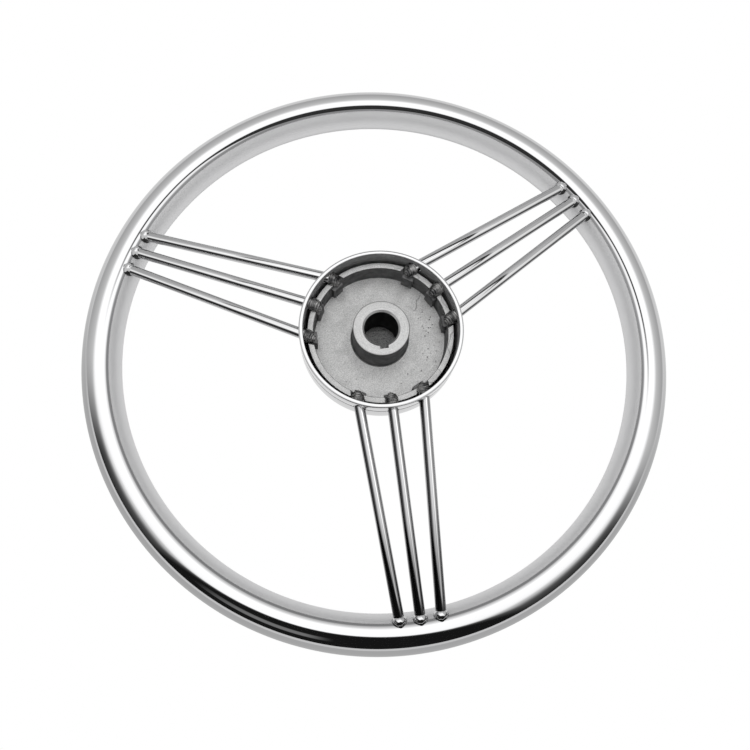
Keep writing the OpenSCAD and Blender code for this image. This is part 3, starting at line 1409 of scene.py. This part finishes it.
@dataclass
class Shells:
    """The rear band with its bright lip, and the pressed bowl that forms the hub's front."""

    polish: bpy.types.Material
    inside: bpy.types.Material
    wall: float = 2.3 * MM
    lip_round: float = 1 * MM
    edge: float = 0.2 * MM
    hole_r: float = 3.3 * MM
    seam_edge: float = 0.5 * MM
    hole_depth: float = 12 * MM
    side_drop: float = 18.6 * MM
    shoulder_r: float = 16 * MM
    opening_r: float = 27 * MM
    collar_t: float = 2 * MM
    collar_h: float = 6 * MM
    steps: int = 360
    outer_r: float = field(init=False)
    rear_z: float = field(init=False)
    band_z: float = field(init=False)
    front_z: float = field(init=False)
    bowl_z: float = field(init=False)

    def __post_init__(self) -> None:
        """Reads the shells' heights and width from the CAD."""
        low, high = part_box("hub_rear_shell")
        self.outer_r = (high.x - low.x) / 2
        self.rear_z = high.z
        self.band_z = low.z
        front_low, front_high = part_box("hub_front_shell")
        self.front_z = front_low.z
        self.bowl_z = front_high.z

    def build(self) -> None:
        """Models both shells and dresses them."""
        tool = rod_tools("hole_tool", self.hole_r, self.hole_depth, self.hole_depth / 2)
        inner = self.outer_r - self.wall
        rear = turned("rear_band", rounded([
            (inner, self.band_z, self.edge),
            (self.outer_r, self.band_z, self.seam_edge),
            (self.outer_r, self.rear_z, self.lip_round),
            (inner, self.rear_z, 2 * self.edge),
        ]), self.steps)
        front = turned("front_bowl", self._bowl(), self.steps)
        for shell, node in ((rear, "hub_rear_shell"), (front, "hub_front_shell")):
            combine(shell, tool, "DIFFERENCE", keep_tool=True)
            smooth(shell)
            paint(shell, self.polish)
            # The dull finish: the shells' own dull inside, and painted shade on the rounded edges at their
            # seam.
            assign(shell, self.inside, self._is_inside)
            dress(shell, self.polish, Body.WHEEL, Slot.POLISHED, node)
        bpy.data.objects.remove(tool)

    def _bowl(self) -> list[Point]:
        """Half-section of the front bowl, with the collar around its opening.

        Returns:
            The closed outline's points.
        """
        side_z = self.rear_z - self.side_drop
        centre = (self.outer_r - self.shoulder_r, side_z)
        inner = self.outer_r - self.wall
        return [
            (inner, self.bowl_z),
            *arc((self.outer_r - self.seam_edge, self.bowl_z - self.seam_edge), self.seam_edge, 90, 0, 5),
            *arc(centre, self.shoulder_r, 0, -90, 36),
            (self.opening_r + self.edge, self.front_z),
            (self.opening_r, self.front_z + self.edge),
            (self.opening_r, self.front_z + self.collar_h),
            (self.opening_r + self.collar_t, self.front_z + self.collar_h),
            (self.opening_r + self.collar_t, self.front_z + self.wall),
            *arc(centre, self.shoulder_r - self.wall, -90, 0, 36),
            (inner, self.bowl_z),
        ]

    def _is_inside(self, face: bmesh.types.BMFace) -> bool:
        """Whether a face is on the shells' inner wall, on the edge of a hole, or on the rounded edges at
        the seam, where the dull finish is painted shade between the shells.

        Args:
            face: a face of the piece.

        Returns:
            Whether it is one of them.
        """
        middle = face.calc_center_median()
        outward = face.normal.x * middle.x + face.normal.y * middle.y
        seam_low, seam_high = self.bowl_z - self.seam_edge, self.band_z + self.seam_edge
        in_seam = seam_low < middle.z < seam_high and abs(face.normal.z) > 0.1
        return in_seam or outward < -0.3 * middle.xy.length and middle.z < self.rear_z - self.lip_round / 2


@dataclass
class CentreCap:
    """The domed cap with its skirt, and the rubber ring in the skirt's groove."""

    polish: bpy.types.Material
    inside: bpy.types.Material
    rubber: bpy.types.Material
    dome_h: float = 5.5 * MM
    edge_t: float = 1.5 * MM
    wall: float = 1.8 * MM
    skirt_r: float = 26.9 * MM
    skirt_t: float = 2.6 * MM
    seal_r: float = 0.7 * MM
    seal_steps: int = 180
    seal_section_steps: int = 24
    parting_inset: float = 0.03 * MM
    parting_rise: float = 0.01 * MM
    groove_w: float = 1.8 * MM
    round: float = 0.4 * MM
    steps: int = 288

    def build(self) -> None:
        """Models the cap and its seal and dresses them."""
        cap = turned("cap", self._section(), self.steps)
        smooth(cap)
        paint(cap, self.polish)
        # The faces that look into the hub get turned rings painted darker: painted shade inside the hub.
        assign(cap, self.inside, self._is_inside)
        dress(cap, self.polish, Body.CAP, Slot.POLISHED, "centre_cap")
        self._seal()

    def _section(self) -> list[Point]:
        """Half-section of the cap: dome, edge, skirt and groove.

        Returns:
            The closed outline's points.
        """
        low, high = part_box("centre_cap")
        cap_r = (high.x - low.x) / 2
        dome_z = low.z + self.dome_h
        edge_z = dome_z + self.edge_t
        ball_r = (cap_r**2 + self.dome_h**2) / (2 * self.dome_h)
        centre = (0, low.z + ball_r)
        seal_low, seal_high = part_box("cap_o_ring")
        seal_z = (seal_low.z + seal_high.z) / 2
        groove_r = (seal_high.x - seal_low.x) / 2 - 2 * self.seal_r
        inner = self.skirt_r - self.skirt_t
        outer_end = math.degrees(math.asin((cap_r - self.round / 2) / ball_r))
        inner_end = math.degrees(math.asin(inner / (ball_r - self.wall)))
        return [
            *arc(centre, ball_r, -90, -90 + outer_end, 40),
            *arc((cap_r - self.round, dome_z + self.round), self.round, -60, 0, 5),
            *arc((cap_r - self.round, edge_z - self.round), self.round, 0, 90, 5),
            (self.skirt_r, edge_z),
            (self.skirt_r, seal_z - self.groove_w / 2),
            (groove_r, seal_z - self.groove_w / 2),
            (groove_r, seal_z + self.groove_w / 2),
            (self.skirt_r, seal_z + self.groove_w / 2),
            (self.skirt_r, high.z - self.round),
            (self.skirt_r - self.round, high.z),
            (inner, high.z),
            *arc(centre, ball_r - self.wall, -90 + inner_end, -90, 30),
            (0, low.z),
        ]

    @staticmethod
    def _is_inside(face: bmesh.types.BMFace) -> bool:
        """Whether a face looks into the hub."""
        middle = face.calc_center_median()
        return face.normal.z > 0.3 or face.normal.dot(Vector((middle.x, middle.y, 0))) < 0

    def _seal(self) -> None:
        """Models the rubber ring, with the mould's parting line as a fine rib."""
        low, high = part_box("cap_o_ring")
        bpy.ops.object.select_all(action="DESELECT")
        bpy.ops.mesh.primitive_torus_add(
            location=(0, 0, (low.z + high.z) / 2), major_radius=(high.x - low.x) / 2 - self.seal_r,
            minor_radius=self.seal_r, major_segments=self.seal_steps,
            minor_segments=self.seal_section_steps)
        seal = bpy.context.object
        seal.name = "seal"
        settle(seal)
        with editing(seal) as mesh:
            pick_faces(seal, mesh, lambda face: abs(face.normal.z) < 0.15)
            bpy.ops.mesh.inset(thickness=self.parting_inset, depth=self.parting_rise)
        smooth(seal, LUMPY_ANGLE)
        dress(seal, self.rubber, Body.CAP, Slot.RUBBER, "cap_o_ring")


# ---------------------------------------------------------------- studio


@dataclass
class Studio:
    """A pale floor under a soft light tent, with the dark cards that give the steel its lines."""

    far_angle: float = math.radians(72.5)
    tilt: float = math.radians(15.03)
    roll: float = math.radians(9.42)
    turn: float = math.radians(-17.5)
    distance: float = 498.7 * MM
    aim_right: float = 1.65 * MM
    aim_up: float = 14.45 * MM
    lens: float = 39.74
    sensor: float = 36.0
    near_clip: float = 10 * MM
    tent_light: float = 2.0
    floor_size: float = 12.0
    floor_layer: float = 0.05 * MM
    floor_far: float = 0.88
    floor_near: float = 0.58
    floor_under: float = 0.3
    near_edge: Span = (166 * MM, 176 * MM)
    under_start: Span = (150 * MM, 153 * MM)
    under_end: Span = (160 * MM, 166 * MM)
    dome_r: float = 5.0
    card_low: float = 28 * MM
    card_high: float = 200 * MM
    card_foot_r: float = 200 * MM
    card_top_r: float = 172 * MM
    card_solid_z: float = 62 * MM
    card_rise: float = 120 * MM
    card_colour: Colour = (0.012, 0.012, 0.012, 1)
    streak_colour: Colour = (0.25, 0.25, 0.25, 1)
    streak_low: Span = (42 * MM, 46 * MM)
    streak_high: Span = (56 * MM, 64 * MM)
    overhead_z: float = 140 * MM
    overhead_size: float = 400 * MM
    overhead_inner_r: float = 108 * MM
    overhead_outer_r: float = 164 * MM
    overhead_inner_taper: float = 30 * MM
    overhead_outer_taper: float = 8 * MM
    overhead_soft: float = 10 * MM
    overhead_colour: Colour = (0.04, 0.04, 0.04, 1)

    def build(self) -> None:
        """Makes the camera, the floor, the light and the cards."""
        self._camera()
        self._world()
        white = self._glow("floor_white", 1, 1, 1)
        light = self._glow("floor_light", self.floor_far, self.floor_near, self.floor_under)
        self._floor("floor", 0.0, white, seen=True)
        self._floor("floor_glow", -self.floor_layer, light, seen=False)
        self._backdrop()
        self._near_card()
        self._overhead_card()

    def _camera(self) -> None:
        """The camera, looking down at the hub from the bottom rods' side."""
        camera = bpy.data.objects.new("camera", bpy.data.cameras.new("camera"))
        bpy.context.scene.collection.objects.link(camera)
        bpy.context.scene.camera = camera
        right = Vector((math.cos(self.roll), math.cos(self.tilt) * math.sin(self.roll),
                        math.sin(self.tilt) * math.sin(self.roll)))
        up = Vector((-math.sin(self.roll), math.cos(self.tilt) * math.cos(self.roll),
                     math.sin(self.tilt) * math.cos(self.roll)))
        back = Vector((0, -math.sin(self.tilt), math.cos(self.tilt)))
        low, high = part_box("rim_tube")
        centre = Vector((0, 0, (low.z + high.z) / 2))
        axes = Matrix((right, up, back)).transposed()
        swing = Matrix.Rotation(self.turn, 4, "Z")
        place = axes @ Vector((-self.aim_right, -self.aim_up, self.distance))
        camera.matrix_world = Matrix.Translation(centre) @ swing @ Matrix.Translation(place) @ axes.to_4x4()
        camera.data.lens = self.lens
        camera.data.sensor_width = self.sensor
        camera.data.clip_start = self.near_clip

    def _world(self) -> None:
        """A light tent: bright overhead and to the far side, dimmer towards the camera."""
        world = bpy.data.worlds.new("tent")
        bpy.context.scene.world = world
        bpy.context.scene.view_settings.view_transform = "Standard"
        shader = Shader(world)
        x, y, z = shader.parts(shader.node("ShaderNodeTexCoord", out="Generated"))
        far = (x * math.cos(self.far_angle) + y * math.sin(self.far_angle)).fade(-0.3, 0.3)
        height = z * 0.5 + 0.5
        far_side = shader.ramp(height, [
            (0.0, 0.45), (0.5, 0.31), (0.57, 0.28), (0.67, 0.31), (0.79, 0.36),
            (0.87, 0.43), (0.91, 0.66), (0.94, 0.85), (1.0, 0.8)])
        near_side = shader.ramp(height, [
            (0.0, 0.48), (0.5, 0.42), (0.67, 0.41), (0.85, 0.41), (0.95, 0.42), (0.98, 0.7), (1.0, 0.8)])
        light = far_side * far + near_side * (1 - far)
        surface = shader.node("ShaderNodeBackground", None, {"Color": light * self.tent_light})
        shader.end(surface, "ShaderNodeOutputWorld")

    def _along(self, x: Wire, y: Wire) -> Wire:
        """How far a place lies along the far direction."""
        return x * math.cos(self.far_angle) + y * math.sin(self.far_angle)

    def _plane(self, name: str, size: float, height: float) -> bpy.types.Object:
        """A staged flat square sheet.

        Args:
            name: the sheet's name.
            size: the length of its side.
            height: its height above the rim's front.

        Returns:
            The new sheet.
        """
        bpy.ops.object.select_all(action="DESELECT")
        bpy.ops.mesh.primitive_plane_add(size=size, location=(0, 0, height))
        sheet = bpy.context.object
        sheet.name = name
        settle(sheet)
        return sheet

    def _glow(self, name: str, far: float, near: float, under: float) -> bpy.types.Material:
        """A material that glows by itself on its upper side.

        Args:
            name: the material's name.
            far: its strength inside the wheel and on the far side.
            near: its strength outside the wheel on the camera's side.
            under: its strength right under the rim's inner half, where it is a painted shadow of the rim.

        Returns:
            The material.
        """
        material, shader = new_shader(name)
        radius, _, _ = shader.around()
        x, y, _ = shader.parts(shader.spot())
        outside = radius.fade(*self.near_edge) * (1 - self._along(x, y).fade(-80 * MM, 80 * MM))
        # A dimmer ring right under the rim: a painted shadow of the rim on the glowing floor.
        shade = radius.fade(*self.under_start) * (1 - radius.fade(*self.under_end))
        strength = (far + outside * (near - far)) * (1 - shade * (1 - under))
        above = 1 - shader.node("ShaderNodeNewGeometry", out="Backfacing")
        shader.lamp(strength, above)
        return material

    def _floor(self, name: str, height: float, glow: bpy.types.Material, seen: bool) -> None:
        """One layer of the floor: the white that the camera sees, or what lights the steel.

        Args:
            name: the layer's name.
            height: its height.
            glow: its material.
            seen: whether the camera sees it.
        """
        sheet = self._plane(name, self.floor_size, height)
        sheet.data.materials.append(glow)
        self._show(sheet, seen)

    @staticmethod
    def _show(sheet: bpy.types.Object, to_camera: bool) -> None:
        """Lets a staged sheet be seen by the camera alone, or by everything but the camera.

        Args:
            sheet: the staged object.
            to_camera: whether the camera sees it.
        """
        sheet.visible_camera = to_camera
        sheet.visible_glossy = not to_camera
        sheet.visible_diffuse = not to_camera
        sheet.visible_shadow = False

    def _backdrop(self) -> None:
        """A pale dome behind everything, for low cameras."""
        bpy.ops.object.select_all(action="DESELECT")
        bpy.ops.mesh.primitive_uv_sphere_add(segments=48, ring_count=24, radius=self.dome_r)
        dome = bpy.context.object
        dome.name = "backdrop"
        material, shader = new_shader("backdrop_white")
        shader.lamp((1, 1, 1, 1))
        dome.data.materials.append(material)
        self._show(dome, True)

    @staticmethod
    def _step(value: Wire, width: float) -> Wire:
        """A soft step from 0 to 1 around zero."""
        return value.fade(-width / 2, width / 2)

    def _near_card(self) -> None:
        """A curved dark card that leans over the rim on the camera's side, and thins out at its ends."""
        bpy.ops.object.select_all(action="DESELECT")
        bpy.ops.mesh.primitive_cone_add(
            vertices=180, radius1=self.card_foot_r, radius2=self.card_top_r,
            depth=self.card_high - self.card_low, location=(0, 0, (self.card_low + self.card_high) / 2),
            end_fill_type="NOTHING")
        card = bpy.context.object
        card.name = "near_card"
        settle(card)
        material, shader = new_shader("near_card_dark")
        x, y, z = shader.parts(shader.spot())
        toward = self._along(x, y) / -self.card_foot_r
        aside = (x * math.sin(self.far_angle) - y * math.cos(self.far_angle)) / self.card_foot_r
        solid_top = toward.fade(0.75, 0.95) * self.card_rise + self.card_solid_z
        solid = self._step(solid_top - z, 30 * MM)
        veil = self._step(solid_top - z, 100 * MM)
        cover = (solid * 0.6 + veil * 0.4) * toward.fade(0.1, 0.5)
        streak = z.fade(*self.streak_low) * (1 - z.fade(*self.streak_high)) * (1 - aside.fade(-0.1, 0.02))
        glow = shader.blend(streak * toward.fade(0.85, 0.95), self.card_colour, self.streak_colour)
        shader.lamp(glow, cover)
        card.data.materials.append(material)
        self._show(card, False)
        card.visible_diffuse = False

    def _overhead_card(self) -> None:
        """A dark ring-shaped sheet above the far rim, widest in its middle."""
        card = self._plane("overhead_card", self.overhead_size, self.overhead_z)
        material, shader = new_shader("overhead_card_dark")
        radius, _, turn = shader.around()
        x, y, _ = shader.parts(turn)
        toward = self._along(x, y)
        off_middle = (1 - toward).fade(0, 0.3)
        inner = off_middle * self.overhead_inner_taper + self.overhead_inner_r
        outer = self.overhead_outer_r - off_middle * self.overhead_outer_taper
        inside = self._step(outer - radius, self.overhead_soft)
        band = self._step(radius - inner, self.overhead_soft) * inside
        shader.lamp(self.overhead_colour, band * toward.fade(0.1, 0.55))
        card.data.materials.append(material)
        self._show(card, False)
        card.visible_diffuse = False


def main() -> None:
    """Builds the wheel's looks and the studio around it."""
    logging.basicConfig(level=logging.INFO, format="%(message)s")
    mirror = MirrorSteel().build()
    # Dark dull finishes: painted shade on the casting's walls and in the bore, and the shells' dull inside
    # with painted shade at their seam.
    wall_shade = DullFinishAndShade().build()
    dull_shell_and_seam_shade = DullFinishAndShade("dull_shell_and_seam_shade", (0.30, 0.30, 0.302, 1), (0.47, 0.47, 0.47, 1), 0.7).build()
    bore_shade = DullFinishAndShade("painted_shade_bore", (0.012, 0.012, 0.012, 1), (0.03, 0.03, 0.03, 1)).build()
    turned_face = TurnedSteel().build()
    # The cap's inside: turned rings, painted darker as shade inside the hub.
    turned_shaded_inside = TurnedSteel("turned_shaded_inside", (0.10, 0.10, 0.10, 1), (0.55, 0.55, 0.55, 1)).build()
    rim = Rim()
    rim.build()
    # Each group of rods has its own painted reflection lines and painted highlight; the bottom rods also
    # have painted shade towards the rim.
    finishes = {
        Group.RIGHT: DrawnSteel("drawn_right"),
        Group.LEFT: DrawnSteel(
            "drawn_left", painted_dark_lines=(PaintedRodLine(0.642, 0.032),), painted_highlight=PaintedRodLine(0.700, 0.022)),
        Group.BOTTOM: DrawnSteel(
            "drawn_bottom", colour=(0.47, 0.47, 0.475, 1), painted_highlight=PaintedRodLine(0.715, 0.014), rim_shade=0.4,
            painted_dark_lines=(PaintedRodLine(0.868, 0.05, 0.95), PaintedRodLine(0.64, 0.03, 0.25))),
    }
    Spokes({group: finish.build() for group, finish in finishes.items()}, rim).build()
    # Near-black painted shade at the rim beads' feet.
    toe = DullFinishAndShade("painted_toe_shade", (0.02, 0.02, 0.02, 1), (0.10, 0.10, 0.10, 1)).build()
    RimWelds(mirror, toe, rim).build()
    HubWelds(WeldMetal().build()).build()
    Casting(BlastedCast().build(), wall_shade, turned_face, bore_shade).build()
    Shells(mirror, dull_shell_and_seam_shade).build()
    CentreCap(mirror, turned_shaded_inside, SealRubber().build()).build()
    Studio().build()


if __name__ == "__main__":
    main()
